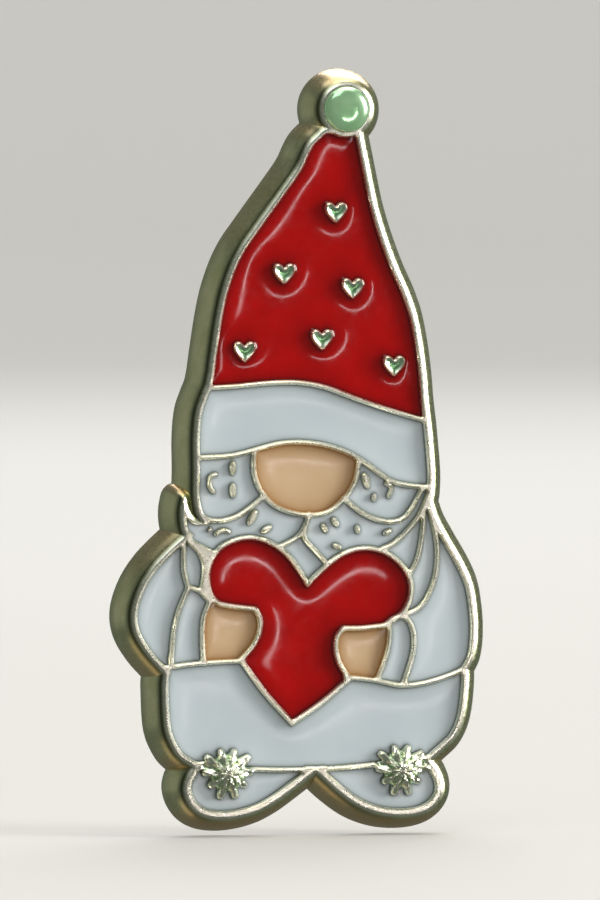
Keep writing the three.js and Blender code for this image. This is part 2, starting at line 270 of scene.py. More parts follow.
def boundary_loops(points, triangles):
    """The closed loops round a set of triangles. On the front, the triangles lie left of each loop."""
    edges = {edge for a, b, c in triangles for edge in ((a, b), (b, c), (c, a))}
    following = {}
    for a, b in edges:
        if (b, a) not in edges:
            following.setdefault(a, []).append(b)
    loops = []
    while following:
        start = here = next(iter(following))
        loop = []
        while here in following:
            loop.append(here)
            ahead = following[here]
            here = ahead.pop()
            if not ahead:
                del following[loop[-1]]
            if here == start:
                break
        if len(loop) > 5:
            loops.append(points[loop])
    return loops


def without_short_steps(loop, shortest=SHORTEST_STEP):
    kept = [loop[0]]
    for point in loop[1:]:
        if np.linalg.norm(point - kept[-1]) > shortest:
            kept.append(point)
    if np.linalg.norm(kept[0] - kept[-1]) <= shortest:
        kept.pop()
    return np.array(kept)


def curved(loop, step):
    """A closed loop resampled along smooth curves through its points. Sharp corners stay."""
    loop = without_short_steps(loop)
    ahead = np.roll(loop, -1, axis=0) - loop
    length = np.linalg.norm(ahead, axis=1)
    ahead = ahead / length[:, None]
    behind = np.roll(ahead, 1, axis=0)
    before = np.roll(length, 1)
    turn = np.arccos(np.clip((ahead * behind).sum(axis=1), -1, 1))
    tangent = behind * length[:, None] + ahead * before[:, None]
    tangent /= np.linalg.norm(tangent, axis=1)[:, None]
    corner = turn > CORNER_ANGLE
    out = []
    for i in range(len(loop)):
        j = (i + 1) % len(loop)
        count = max(1, int(math.ceil(length[i] / step)))
        t = np.arange(count)[:, None] / count
        start = ahead[i] if corner[i] else tangent[i]
        end = ahead[i] if corner[j] else tangent[j]
        out.append(
            (2 * t**3 - 3 * t**2 + 1) * loop[i]
            + (t**3 - 2 * t**2 + t) * start * length[i]
            + (3 * t**2 - 2 * t**3) * loop[j]
            + (t**3 - t**2) * end * length[i]
        )
    return np.vstack(out)


def evenly(loop, step):
    """A closed loop with points at even steps along it."""
    closed = np.vstack([loop, loop[:1]])
    along = np.r_[0, np.cumsum(np.linalg.norm(np.diff(closed, axis=0), axis=1))]
    count = max(8, int(round(along[-1] / step)))
    at = np.arange(count) * along[-1] / count
    return np.column_stack([np.interp(at, along, closed[:, k]) for k in (0, 1)])


def smooth_outline(loop, step, passes):
    loop = evenly(curved(loop, step / 2), step)
    for _ in range(passes):
        loop = 0.5 * loop + 0.25 * (np.roll(loop, 1, axis=0) + np.roll(loop, -1, axis=0))
    return loop


def left_normals(loop):
    along = np.roll(loop, -1, axis=0) - np.roll(loop, 1, axis=0)
    along /= np.linalg.norm(along, axis=1)[:, None]
    return np.column_stack([-along[:, 1], along[:, 0]])


def area(loop):
    x, z = loop[:, 0], loop[:, 1]
    return 0.5 * float(np.sum(x * np.roll(z, -1) - z * np.roll(x, -1)))


# ---------------------------------------------------------------- distances and triangulation

class Edges:
    """Finds how far points are from a set of closed loops."""

    def __init__(self, loops):
        self.starts = np.vstack(loops)
        self.ends = np.vstack([np.roll(loop, -1, axis=0) for loop in loops])
        self.previous = np.vstack([np.roll(loop, 1, axis=0) for loop in loops])
        self.tree = kdtree.KDTree(len(self.starts))
        for i, (x, z) in enumerate(self.starts):
            self.tree.insert((x, z, 0), i)
        self.tree.balance()

    def distance(self, points):
        near = np.array([self.tree.find((x, z, 0))[1] for x, z in points])
        here = self.starts[near]
        return np.minimum(
            self._to_segment(points, here, self.ends[near]),
            self._to_segment(points, here, self.previous[near]),
        )

    @staticmethod
    def _to_segment(points, a, b):
        ab = b - a
        t = np.clip(((points - a) * ab).sum(axis=1) / np.maximum((ab * ab).sum(axis=1), 1e-12), 0, 1)
        return np.linalg.norm(points - a - ab * t[:, None], axis=1)


def inside_count(points, loops):
    """How many of the loops hold each point."""
    count = np.zeros(len(points), int)
    for loop in loops:
        low, high = loop.min(axis=0), loop.max(axis=0)
        near = np.flatnonzero(((points >= low) & (points <= high)).all(axis=1))
        if not len(near):
            continue
        a, b = loop, np.roll(loop, -1, axis=0)
        hit = np.zeros(len(near), bool)
        px, pz = points[near, 0], points[near, 1]
        for (ax, az), (bx, bz) in zip(a, b):
            crosses = (az > pz) != (bz > pz)
            hit ^= crosses & (px < ax + (pz - az) * (bx - ax) / ((bz - az) or 1e-12))
        count[near] += hit
    return count


def cell_of(x, z):
    return int(x // SEARCH_CELL), int(z // SEARCH_CELL)


def thinned(points, spacing, taken):
    """Leaves out points closer than their own spacing to one that is already there."""
    kept = []
    for point, gap in zip(points, spacing):
        cell = cell_of(*point)
        near = (
            other
            for i in (-1, 0, 1)
            for j in (-1, 0, 1)
            for other in taken.get((cell[0] + i, cell[1] + j), ())
        )
        if all((point[0] - x) ** 2 + (point[1] - z) ** 2 > gap * gap for x, z in near):
            taken.setdefault(cell, []).append((point[0], point[1]))
            kept.append(point)
    return np.array(kept)


def triangulated(loops, extra):
    """Triangles over the loops and the extra points, with the loops as fixed edges."""
    points = [Vector(p) for loop in loops for p in loop] + [Vector(p) for p in extra]
    edges, first = [], 0
    for loop in loops:
        edges += [(first + i, first + (i + 1) % len(loop)) for i in range(len(loop))]
        first += len(loop)
    found, _, faces, *_ = geometry.delaunay_2d_cdt(points, edges, [], 0, 1e-7)
    return np.array([p[:] for p in found]), np.array([f[:] for f in faces if len(f) == 3])


def hex_grid(low, high, step):
    rows = np.arange(low[1], high[1], step * math.sqrt(3) / 2)
    columns = np.arange(low[0], high[0], step)
    return np.vstack([np.column_stack([columns + (k % 2) * step / 2, np.full(len(columns), z)])
                      for k, z in enumerate(rows)])


# ---------------------------------------------------------------- Blender objects

def make_piece(name, vertices, faces, nodes, materials, weld=True):
    """A smooth piece from (x, height, z) vertices in millimetres that stands for some CAD nodes."""
    mesh = bpy.data.meshes.new(name)
    placed = np.column_stack([vertices[:, 0], -vertices[:, 1], vertices[:, 2]]) * MM
    mesh.from_pydata(placed.tolist(), [], [list(map(int, f)) for f in faces])
    piece = bpy.data.objects.new(name, mesh)
    bpy.context.scene.collection.objects.link(piece)
    work = bmesh.new()
    work.from_mesh(mesh)
    if weld:
        bmesh.ops.remove_doubles(work, verts=work.verts, dist=WELD)
        bmesh.ops.dissolve_degenerate(work, dist=WELD / 20, edges=work.edges)
    bmesh.ops.recalc_face_normals(work, faces=work.faces)
    work.to_mesh(mesh)
    work.free()
    mesh.shade_smooth()
    for material in materials:
        mesh.materials.append(material)
    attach(piece, "root")
    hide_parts(*nodes)
    return piece


def store(piece, name, values):
    made = piece.data.attributes.new(name, "FLOAT", "POINT")
    made.data.foreach_set("value", np.asarray(values, np.float32))


def positions(piece):
    """The piece's vertices as (x, height, z) in millimetres."""
    flat = np.empty(3 * len(piece.data.vertices))
    piece.data.vertices.foreach_get("co", flat)
    points = flat.reshape(-1, 3) / MM
    return np.column_stack([points[:, 0], -points[:, 1], points[:, 2]])


def sharpen(piece, degrees):
    piece.data.set_sharp_from_angle(angle=math.radians(degrees))


def strip(first, second, count):
    """Faces between two rings of the same count, given each ring's first vertex number."""
    return [(first + i, first + j, second + j, second + i)
            for i, j in zip(range(count), [*range(1, count), 0])]


# ---------------------------------------------------------------- materials

def new_material(name):
    material = bpy.data.materials.new(name)
    material.use_nodes = True
    nodes = material.node_tree.nodes
    return material, nodes, material.node_tree.links, nodes["Principled BSDF"]


def noise(nodes, links, scale, detail=3.0, roughness=0.5):
    """A noise texture over the object's own coordinates, in features per metre."""
    where = nodes.new("ShaderNodeTexCoord")
    texture = nodes.new("ShaderNodeTexNoise")
    texture.inputs["Scale"].default_value = scale
    texture.inputs["Detail"].default_value = detail
    texture.inputs["Roughness"].default_value = roughness
    links.new(where.outputs["Object"], texture.inputs["Vector"])
    return texture.outputs["Fac"]


def ramp(nodes, links, source, stops):
    made = nodes.new("ShaderNodeValToRGB")
    elements = made.color_ramp.elements
    for element, (place, colour) in zip(elements, stops):
        element.position, element.color = place, colour
    for place, colour in stops[2:]:
        elements.new(place).color = colour
    links.new(source, made.inputs["Fac"])
    return made.outputs["Color"]


def to_range(nodes, links, source, low, high, start=0.0, end=1.0):
    made = nodes.new("ShaderNodeMapRange")
    made.inputs["From Min"].default_value = start
    made.inputs["From Max"].default_value = end
    made.inputs["To Min"].default_value = low
    made.inputs["To Max"].default_value = high
    links.new(source, made.inputs["Value"])
    return made.outputs["Result"]


def mix(nodes, links, factor, first, second, blend="MIX"):
    made = nodes.new("ShaderNodeMix")
    made.data_type = "RGBA"
    made.blend_type = blend
    for socket, value in (("Factor", factor), ("A", first), ("B", second)):
        target = next(s for s in made.inputs if s.name == socket and s.enabled)
        if isinstance(value, bpy.types.NodeSocket):
            links.new(value, target)
        else:
            target.default_value = value
    return next(s for s in made.outputs if s.enabled)


def attribute(nodes, name):
    made = nodes.new("ShaderNodeAttribute")
    made.attribute_name = name
    return made.outputs["Fac"]


def bump(nodes, links, shader, height, strength, distance, under=None):
    made = nodes.new("ShaderNodeBump")
    made.inputs["Strength"].default_value = strength
    made.inputs["Distance"].default_value = distance
    links.new(height, made.inputs["Height"])
    if under is not None:
        links.new(under, made.inputs["Normal"])
    links.new(made.outputs["Normal"], shader.inputs["Normal"])
    return made.outputs["Normal"]


def plated_metal():
    """Pale gold plating, polished on the high parts. Lower down it carries painted light: painted shade and
    a painted green reflection on the cell walls and the side, a painted warm reflection where the side
    faces up or down, a painted dark band on the left side, and painted green in the hearts' dishes and the
    fur's grooves.
    """
    material, nodes, links, shader = new_material("plated_metal")
    shader.inputs["Metallic"].default_value = 1.0
    cloud = noise(nodes, links, 900.0, 4.0)
    bright = ramp(nodes, links, cloud, [(0.3, (0.83, 0.82, 0.66, 1)), (0.7, (0.90, 0.89, 0.76, 1))])
    # Painted shade and a painted green reflection for the cell walls and the side
    olive = ramp(nodes, links, cloud, [(0.3, (0.54, 0.57, 0.32, 1)), (0.7, (0.70, 0.72, 0.46, 1))])
    # Painted reflection: a warm tone where the side faces up or down
    shade_and_reflection = mix(nodes, links, attribute(nodes, "painted_warm_reflection"), olive, (0.72, 0.50, 0.26, 1))
    # Painted shade: the cell walls and the side take the shaded colour
    low_shaded = mix(nodes, links, attribute(nodes, "low"), bright, shade_and_reflection)
    # Painted shade: a dark band on the left-facing side beside the front
    left_shade_mixed = mix(nodes, links, attribute(nodes, "painted_left_shade"), low_shaded, (0.03, 0.035, 0.02, 1))
    # Painted green reflection in the hearts' dishes and painted green shade in the fur's grooves
    green_painted = mix(nodes, links, attribute(nodes, "mint"), left_shade_mixed, (0.30, 0.62, 0.30, 1))
    links.new(green_painted, shader.inputs["Base Color"])
    wear = noise(nodes, links, 6000.0, 3.0, 0.55)
    links.new(to_range(nodes, links, wear, 0.24, 0.38, 0.3, 0.75), shader.inputs["Roughness"])
    bump(nodes, links, shader, wear, 0.05, 0.00001)
    return material


def cast_back():
    """The unpolished back of the casting, matt and grainy."""
    material, nodes, links, shader = new_material("cast_back")
    shader.inputs["Metallic"].default_value = 1.0
    cloud = noise(nodes, links, 300.0, 6.0, 0.6)
    tint = ramp(nodes, links, cloud, [(0.3, (0.60, 0.57, 0.42, 1)), (0.7, (0.68, 0.65, 0.50, 1))])
    links.new(tint, shader.inputs["Base Color"])
    grain = noise(nodes, links, 7000.0, 4.0, 0.7)
    links.new(to_range(nodes, links, cloud, 0.38, 0.46, 0.3, 0.7), shader.inputs["Roughness"])
    bump(nodes, links, shader, grain, 0.6, 0.00003)
    return material


def enamel(name, thick, shade_colour, speck, shade, gloss):
    """Glossy enamel. Painted shade darkens its colour in a narrow band against the metal, and a little over
    a
    wider band: the shade says how much. The gloss is the pair of roughness values that it varies
    between."""
    material, nodes, links, shader = new_material(name)
    cloud = noise(nodes, links, 700.0, 4.0)
    # Painted shade: the enamel darkens towards the metal walls
    wall = attribute(nodes, "wall")
    clouded = mix(nodes, links, to_range(nodes, links, cloud, 0.0, 0.35, 0.35, 0.75), thick, speck)
    shaded = mix(nodes, links, to_range(nodes, links, attribute(nodes, "near"), 0.0, shade), clouded, shade_colour)
    links.new(mix(nodes, links, wall, shaded, shade_colour), shader.inputs["Base Color"])
    fine = noise(nodes, links, 3500.0, 3.0)
    links.new(to_range(nodes, links, fine, *gloss, 0.3, 0.7), shader.inputs["Roughness"])
    shader.inputs["IOR"].default_value = 1.42
    waves = bump(nodes, links, shader, noise(nodes, links, 450.0, 1.0), 0.25, 0.00003)
    bump(nodes, links, shader, fine, 0.05, 0.00001, waves)
    return material


def green_metal():
    """Polished metal under a thin mint green coat."""
    material, nodes, links, shader = new_material("green_metal")
    shader.inputs["Metallic"].default_value = 0.7
    cloud = noise(nodes, links, 1200.0, 3.0)
    tint = ramp(nodes, links, cloud, [(0.3, (0.34, 0.66, 0.34, 1)), (0.7, (0.54, 0.84, 0.52, 1))])
    links.new(tint, shader.inputs["Base Color"])
    links.new(to_range(nodes, links, cloud, 0.14, 0.24, 0.3, 0.7), shader.inputs["Roughness"])
    shader.inputs["Coat Weight"].default_value = 0.6
    shader.inputs["Coat Roughness"].default_value = 0.05
    bump(nodes, links, shader, noise(nodes, links, 1500.0, 2.0), 0.1, 0.00003)
    return material


def tack_metal():
    material, nodes, links, shader = new_material("tack_metal")
    shader.inputs["Metallic"].default_value = 1.0
    cloud = noise(nodes, links, 1500.0, 4.0)
    tint = ramp(nodes, links, cloud, [(0.3, (0.60, 0.57, 0.46, 1)), (0.7, (0.76, 0.73, 0.62, 1))])
    links.new(tint, shader.inputs["Base Color"])
    links.new(to_range(nodes, links, cloud, 0.22, 0.36, 0.3, 0.7), shader.inputs["Roughness"])
    bump(nodes, links, shader, noise(nodes, links, 5000.0, 3.0), 0.06, 0.00001)
    return material


def solder_metal():
    material, nodes, links, shader = new_material("solder_metal")
    shader.inputs["Metallic"].default_value = 1.0
    cloud = noise(nodes, links, 1800.0, 5.0)
    tint = ramp(nodes, links, cloud, [(0.3, (0.40, 0.40, 0.39, 1)), (0.7, (0.62, 0.61, 0.57, 1))])
    links.new(tint, shader.inputs["Base Color"])
    links.new(to_range(nodes, links, cloud, 0.38, 0.55, 0.3, 0.7), shader.inputs["Roughness"])
    bump(nodes, links, shader, noise(nodes, links, 4000.0, 4.0), 0.4, 0.00003)
    return material


METAL = plated_metal()
BACK = cast_back()
ENAMELS = {name: enamel(name, *look) for name, look in ENAMEL_LOOKS.items()}


# ---------------------------------------------------------------- the front: metal lines and enamel pools

def metal_height(top, to_wall, to_outline, walls):
    """Rounded tops of the raised metal, lower towards a cell's wall and at the outer edge."""
    wall_drop = EDGE_DROP * np.clip(1 - to_wall / EDGE_WIDTH, 0, 1) ** 2
    outer_drop = OUTER_DROP * np.clip(1 - to_outline / OUTER_WIDTH, 0, 1) ** 2
    dish = DISH_DEPTH * dished(top, to_wall, walls)
    return TOP - wall_drop - outer_drop - dish + fur_height(top)


def dished(top, to_wall, walls):
    """How far each point lies inside the dished middle of a small heart, from 0 to 1."""
    hearts = [loop for loop in walls if area(loop) > HEART_AREA]
    inside = inside_count(top, hearts) > 0
    return inside * np.clip((to_wall - DISH_START) / DISH_WIDTH, 0, 1) ** DISH_CURVE


def fur_centres():
    centres = []
    for slipper, place in FUR_PLACES.items():
        low, high = (np.array(corner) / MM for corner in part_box(slipper))
        centres.append(np.array([low[0] + place * (high[0] - low[0]), high[2] - FUR_BELOW]))
    return centres


def fur_shape(top):
    """The fur pompoms as a share of a dome, and as a share of the groove between every two tufts. Finer
    hairs that curl a little make the tufts ragged."""
    dome, groove = np.zeros(len(top)), np.zeros(len(top))
    for centre in fur_centres():
        x, z = (top - centre).T
        reach, turn = np.hypot(x, z), np.arctan2(z, x)
        dome += np.clip(1 - (reach / FUR_REACH) ** 2, 0, 1)
        outward = np.clip(reach / FUR_MIDDLE, 0, 1) * np.clip((FUR_REACH - reach) / FUR_FADE, 0, 1)
        groove += outward * (0.5 - 0.5 * np.cos(FUR_TUFTS * turn)) ** 2
        groove += FUR_RAGGED * outward * (0.5 + 0.5 * np.sin(FUR_HAIRS * turn + FUR_CURL * reach))
    return dome, groove


def fur_height(top):
    dome, groove = fur_shape(top)
    return FUR_RISE * dome - FUR_GROOVE * groove


def meniscus(flat, faces, edge):
    """The enamel's surface: level far from the walls and drawn up to meet them, as a liquid sets in a cup.

    It solves height - reach^2 * curvature = 0 on the mesh, with the height given along the edge.
    """
    first, second, weights = [], [], []
    mass = np.zeros(len(flat))
    for k in range(3):
        a, b, c = (faces[:, (k + n) % 3] for n in range(3))
        ab, ac = flat[b] - flat[a], flat[c] - flat[a]
        twice_area = np.maximum(np.abs(ab[:, 0] * ac[:, 1] - ab[:, 1] * ac[:, 0]), SLIVER)
        weight = 0.5 * ENAMEL_REACH**2 * (ab * ac).sum(axis=1) / twice_area
        first += [b, c]
        second += [c, b]
        weights += [weight, weight]
        mass += np.bincount(a, weights=twice_area / 6, minlength=len(flat))
    first, second, weights = map(np.concatenate, (first, second, weights))
    diagonal = mass + np.bincount(first, weights=weights, minlength=len(flat))

    def applied(values):
        return diagonal * values - np.bincount(first, weights=weights * values[second], minlength=len(flat))

    height = np.where(edge, ENAMEL_RISE, 0.0)
    residual = np.where(edge, 0.0, -applied(height))
    scaled = residual / diagonal
    heading = scaled
    size = residual @ scaled
    for _ in range(SOLVER_STEPS):
        if size < SOLVER_LIMIT:
            break
        pushed = np.where(edge, 0.0, applied(heading))
        step = size / (heading @ pushed)
        height = height + step * heading
        residual = residual - step * pushed
        scaled = residual / diagonal
        smaller = residual @ scaled
        heading = scaled + smaller / size * heading
        size = smaller
    return ENAMEL_LEVEL + height


def connected(faces):
    """Groups faces that share an edge, as one group number a face."""
    owner = list(range(len(faces)))

    def root(i):
        while owner[i] != i:
            owner[i] = owner[owner[i]]
            i = owner[i]
        return i

    seen = {}
    for i, (a, b, c) in enumerate(faces):
        for edge in ((a, b), (b, c), (c, a)):
            key = (min(edge), max(edge))
            if key in seen:
                owner[root(i)] = root(seen[key])
            seen[key] = i
    return np.array([root(i) for i in range(len(faces))])


def compact(points, faces):
    """Only the points that the faces use, with the faces renumbered, and the old numbers."""
    used, renumbered = np.unique(faces, return_inverse=True)
    return points[used], renumbered.reshape(faces.shape), used


def read_outlines():
    points, triangles = plate_faces(TOP)
    loops = sorted(boundary_loops(points, triangles), key=lambda loop: -abs(area(loop)))
    outer = smooth_outline(loops[0], OUTLINE_STEP, 4 * SMOOTHING_PASSES)
    real = [loop for loop in loops[1:] if abs(area(loop)) > SMALLEST_AREA]
    walls = [smooth_outline(loop, WALL_STEP, SMOOTHING_PASSES) for loop in real]
    return outer, walls


def surface_points(outer, walls, wall_edges, outer_edges):
    """Points between the outlines: rows beside every wall, then a grid that is coarser far from them."""
    taken = {}
    for loop in [outer] + walls:
        for x, z in loop:
            taken.setdefault(cell_of(x, z), []).append((x, z))
    candidates, spacing = [], []
    for rows, side, gap in ((METAL_ROWS, 1, METAL_SPACING), (ENAMEL_ROWS, -1, ENAMEL_SPACING)):
        for row in rows:
            for loop in walls:
                moved = loop + side * row * left_normals(loop)
                kept = wall_edges.distance(moved) > CLEAR_OF_WALL * row
                candidates.append(moved[kept])
                spacing.append(np.full(kept.sum(), gap * WALL_STEP))
    for row in METAL_ROWS:
        moved = (outer + row * left_normals(outer))[::2]
        kept = outer_edges.distance(moved) > CLEAR_OF_WALL * row
        candidates.append(moved[kept])
        spacing.append(np.full(kept.sum(), METAL_SPACING * WALL_STEP))
    for centre in fur_centres():
        grid = hex_grid(centre - FUR_REACH, centre + FUR_REACH, FUR_GRID)
        grid = grid[wall_edges.distance(grid) > ENAMEL_SPACING * FUR_GRID]
        candidates.append(grid)
        spacing.append(np.full(len(grid), GRID_SPACING * FUR_GRID))
    low, high = outer.min(axis=0), outer.max(axis=0)
    for step, start, end in ((FINE_GRID, FINE_FROM, COARSE_FROM), (COARSE_GRID, COARSE_FROM, math.inf)):
        grid = hex_grid(low, high, step)
        far = np.minimum(wall_edges.distance(grid), outer_edges.distance(grid))
        grid = grid[(far > start) & (far <= end)]
        candidates.append(grid)
        spacing.append(np.full(len(grid), GRID_SPACING * step))
    points, spacing = np.vstack(candidates), np.concatenate(spacing)
    inside = inside_count(points, [outer]) > 0
    return thinned(points[inside], spacing[inside], taken)


def offset_rings(outer):
    """The outline moved outwards step by step, each with its height. Where two sides meet in a valley, the
    points between them gather on the valley's line."""
    turns = np.linspace(0, math.pi / 2, FLANK_RINGS + 1)
    profile = [(0.0, TOP - OUTER_DROP)]
    for turn in turns[1:]:
        reach = FLANK_BULGE * math.sin(turn) ** (2 / FLANK_ROUNDNESS)
        rise = max(math.cos(turn), 0.0) ** (2 / FLANK_ROUNDNESS)
        profile.append((reach, TOP - FLANK_HEIGHT + (FLANK_HEIGHT - OUTER_DROP) * rise))
    profile += BACK_EDGE
    normals = left_normals(outer)
    for _ in range(NORMAL_PASSES):
        normals = 0.5 * normals + 0.25 * (np.roll(normals, 1, axis=0) + np.roll(normals, -1, axis=0))
        normals /= np.linalg.norm(normals, axis=1)[:, None]
    return [(gathered(outer - reach * normals), height) for reach, height in profile]


def gathered(ring):
    """Cuts off the small loops that an offset outline makes in a hollow, keeping the number of points."""
    count = len(ring)
    reach = np.zeros(count, int)
    where = np.zeros((count, 2))
    a, b = ring, np.roll(ring, -1, axis=0)
    for ahead in range(2, FLANK_SEARCH):
        c, d = np.roll(ring, -ahead, axis=0), np.roll(ring, -ahead - 1, axis=0)
        ab, cd, ac = b - a, d - c, c - a
        cross = ab[:, 0] * cd[:, 1] - ab[:, 1] * cd[:, 0]
        safe = np.where(np.abs(cross) < PARALLEL, 1, cross)
        t = (ac[:, 0] * cd[:, 1] - ac[:, 1] * cd[:, 0]) / safe
        u = (ac[:, 0] * ab[:, 1] - ac[:, 1] * ab[:, 0]) / safe
        hit = (np.abs(cross) > PARALLEL) & (t >= 0) & (t <= 1) & (u >= 0) & (u <= 1)
        reach[hit] = ahead
        where[hit] = a[hit] + ab[hit] * t[hit, None]
    moved = ring.copy()
    i = 0
    while i < count:
        if reach[i]:
            moved[(i + 1 + np.arange(reach[i])) % count] = where[i]
            i += reach[i]
        i += 1
    return moved


def lift(points, height):
    """Outline points as (x, height, z)."""
    return np.column_stack([points[:, 0], np.broadcast_to(height, len(points)), points[:, 1]])


def recess_circle(radius):
    turn = 2 * math.pi * np.arange(RECESS_SIDES) / RECESS_SIDES
    return np.column_stack([radius * np.cos(turn), radius * np.sin(turn)])


def recess_size():
    """The radius and depth of the round recess in the back, from the CAD model."""
    points, triangles = plate_faces(0.0)
    loops = sorted(boundary_loops(points, triangles), key=lambda loop: -abs(area(loop)))
    radius = float(np.linalg.norm(loops[-1], axis=1).mean())
    return radius, -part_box("spike")[0][1] / MM + RECESS_ROOM


def make_plate(outer, walls, points, faces, wall_edges, outer_edges):
    """The casting: its raised lines, the walls and floors of its cells, its side and its back."""
    vertices, polygons, total = [], [], 0

    def add(block, block_faces):
        nonlocal total
        vertices.append(block)
        polygons.extend([tuple(total + i for i in face) for face in block_faces])
        total += len(block)

    top, top_faces, _ = compact(points, faces)
    to_wall, to_outline = wall_edges.distance(top), outer_edges.distance(top)
    add(lift(top, metal_height(top, to_wall, to_outline, walls)), top_faces)
    for loop in walls:
        block = np.vstack([lift(loop, TOP - EDGE_DROP), lift(loop, CELL_FLOOR)])
        add(block, strip(0, len(loop), len(loop)))
    floor, floor_faces = triangulated(walls, [])
    middles = floor[floor_faces].mean(axis=1)
    enamelled = inside_count(middles, walls) % 2 == 1
    floor, floor_faces, _ = compact(floor, floor_faces[enamelled])
    add(lift(floor, CELL_FLOOR), floor_faces)
    rings = offset_rings(outer)
    count = len(outer)
    side = np.vstack([lift(ring, height) for ring, height in rings])
    add(side, [f for k in range(len(rings) - 1) for f in strip(k * count, (k + 1) * count, count)])
    radius, depth = recess_size()
    circle = recess_circle(radius)
    rim = without_short_steps(rings[-1][0], 0.001)
    back, back_faces = triangulated([rim, circle], [])
    middles = back[back_faces].mean(axis=1)
    on_back = (inside_count(middles, [rim]) == 1) & (np.linalg.norm(middles, axis=1) > radius * 0.999)
    back, back_faces, _ = compact(back, back_faces[on_back])
    add(lift(back, 0.0), back_faces)
    well = np.vstack([lift(circle, 0.0), lift(circle, depth), [[0, depth, 0]]])
    n = len(circle)
    add(well, strip(0, n, n) + [(n + i, n + (i + 1) % n, 2 * n) for i in range(n)])
    shape = np.vstack(vertices)
    plate = make_piece("plate", shape, polygons, ["base_plate"], [METAL, BACK])
    finish_plate(plate, walls, wall_edges, outer_edges)
    return plate


def finish_plate(plate, walls, wall_edges, outer_edges):
    """Marks the painted shade and painted reflections on the metal: the shaded cell walls and side, the
    dark band on the left side, the warm reflection on up- and down-facing sides, and the painted green in
    the hearts' dishes and the fur's grooves. It also gives the flat back its own finish.
    """
    at = positions(plate)
    flat = at[:, [0, 2]]
    outside = inside_count(flat, [outer_edges.starts]) == 0
    beyond = np.where(outside, outer_edges.distance(flat), 0)
    # Painted shade: the cell walls below the tops and the side beyond the outline are marked for the shaded
    # olive colour
    deep = np.clip((TOP - EDGE_DROP - SHADE_START - at[:, 1]) / SHADE_DEPTH, 0, 1)
    store(plate, "low", np.maximum(deep, np.clip(beyond / SHADE_BESIDE, 0, 1)))
    normals = np.array([v.normal[:] for v in plate.data.vertices])
    # Painted shade: a dark band on the side just beside the front, only where the side faces left
    beside = np.exp(-(((beyond - LEFT_SHADE_PLACE) / LEFT_SHADE_WIDTH) ** 2)) * outside
    store(plate, "painted_left_shade", beside * np.clip(-LEFT_SHADE_STRENGTH * normals[:, 0], 0, 1))
    # Painted reflection: a warm tone on faces that point up or down
    store(plate, "painted_warm_reflection", np.clip(2 * np.abs(normals[:, 2]) - WARM_REFLECTION_FROM, 0, 1))
    # Painted green: reflection in the small hearts' dished middles and shade in the fur's grooves
    green_painted = np.maximum(dished(flat, wall_edges.distance(flat), walls), FUR_GROOVE_GREEN * fur_shape(flat)[1])
    store(plate, "mint", green_painted * (at[:, 1] > TOP - SHADE_DEPTH))
    radius, depth = recess_size()
    for face in plate.data.polygons:
        x, y, z = np.array(face.center) / MM
        in_recess = math.hypot(x, z) < radius + RECESS_ROOM and -y < 2 * depth
        if face.normal.y > BACK_FACING or in_recess:
            face.material_index = 1
    sharpen(plate, PLATE_SHARP)


def make_pools(points, faces, wall_edges):
    """One piece for each enamel pool, named after the CAD node that it fills."""
    names = [n for n in frame["nodes"] if slot_of(n).startswith("enamel_") and n != "hat_pompom"]
    boxes = {n: np.array(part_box(n))[:, [0, 2]] / MM for n in names}
    groups = connected(faces)
    for group in np.unique(groups):
        flat, pool_faces, _ = compact(points, faces[groups == group])
        span = np.array([flat.min(axis=0), flat.max(axis=0)])
        name = min(boxes, key=lambda n: np.abs(boxes[n] - span).sum())
        if np.abs(boxes[name] - span).max() < NODE_MATCH:
            make_pool(name, flat, pool_faces, wall_edges)


def slot_of(node):
    return next(s["material_slot"] for s in frame["record"]["subparts"] if s["node"] == node)


def make_pool(name, flat, faces, wall_edges):
    to_wall = wall_edges.distance(flat)
    edge = to_wall < ON_WALL
    heights = meniscus(flat, faces, edge)
    count = len(flat)
    rim = boundary_edges(faces)
    vertices = np.vstack([lift(flat, heights), lift(flat, ENAMEL_FLOOR)])
    polygons = [tuple(f) for f in faces]
    polygons += [tuple(i + count for i in f[::-1]) for f in faces]
    polygons += [(a, b, b + count, a + count) for a, b in rim]
    slot = slot_of(name)
    pool = make_piece(name + "_pool", vertices, polygons, [name], [ENAMELS[slot]], weld=False)
    # Painted shade: bands that darken the enamel towards the metal
    store(pool, "wall", np.exp(-np.r_[to_wall, to_wall] / WALL_SHADE_BAND))
    store(pool, "near", np.exp(-np.r_[to_wall, to_wall] / NEAR_SHADE_BAND))
    sharpen(pool, POOL_SHARP)


def boundary_edges(faces):
    edges = {(a, b) for f in faces for a, b in ((f[0], f[1]), (f[1], f[2]), (f[2], f[0]))}
    return [(int(a), int(b)) for a, b in edges if (b, a) not in edges]


# ---------------------------------------------------------------- turned pieces

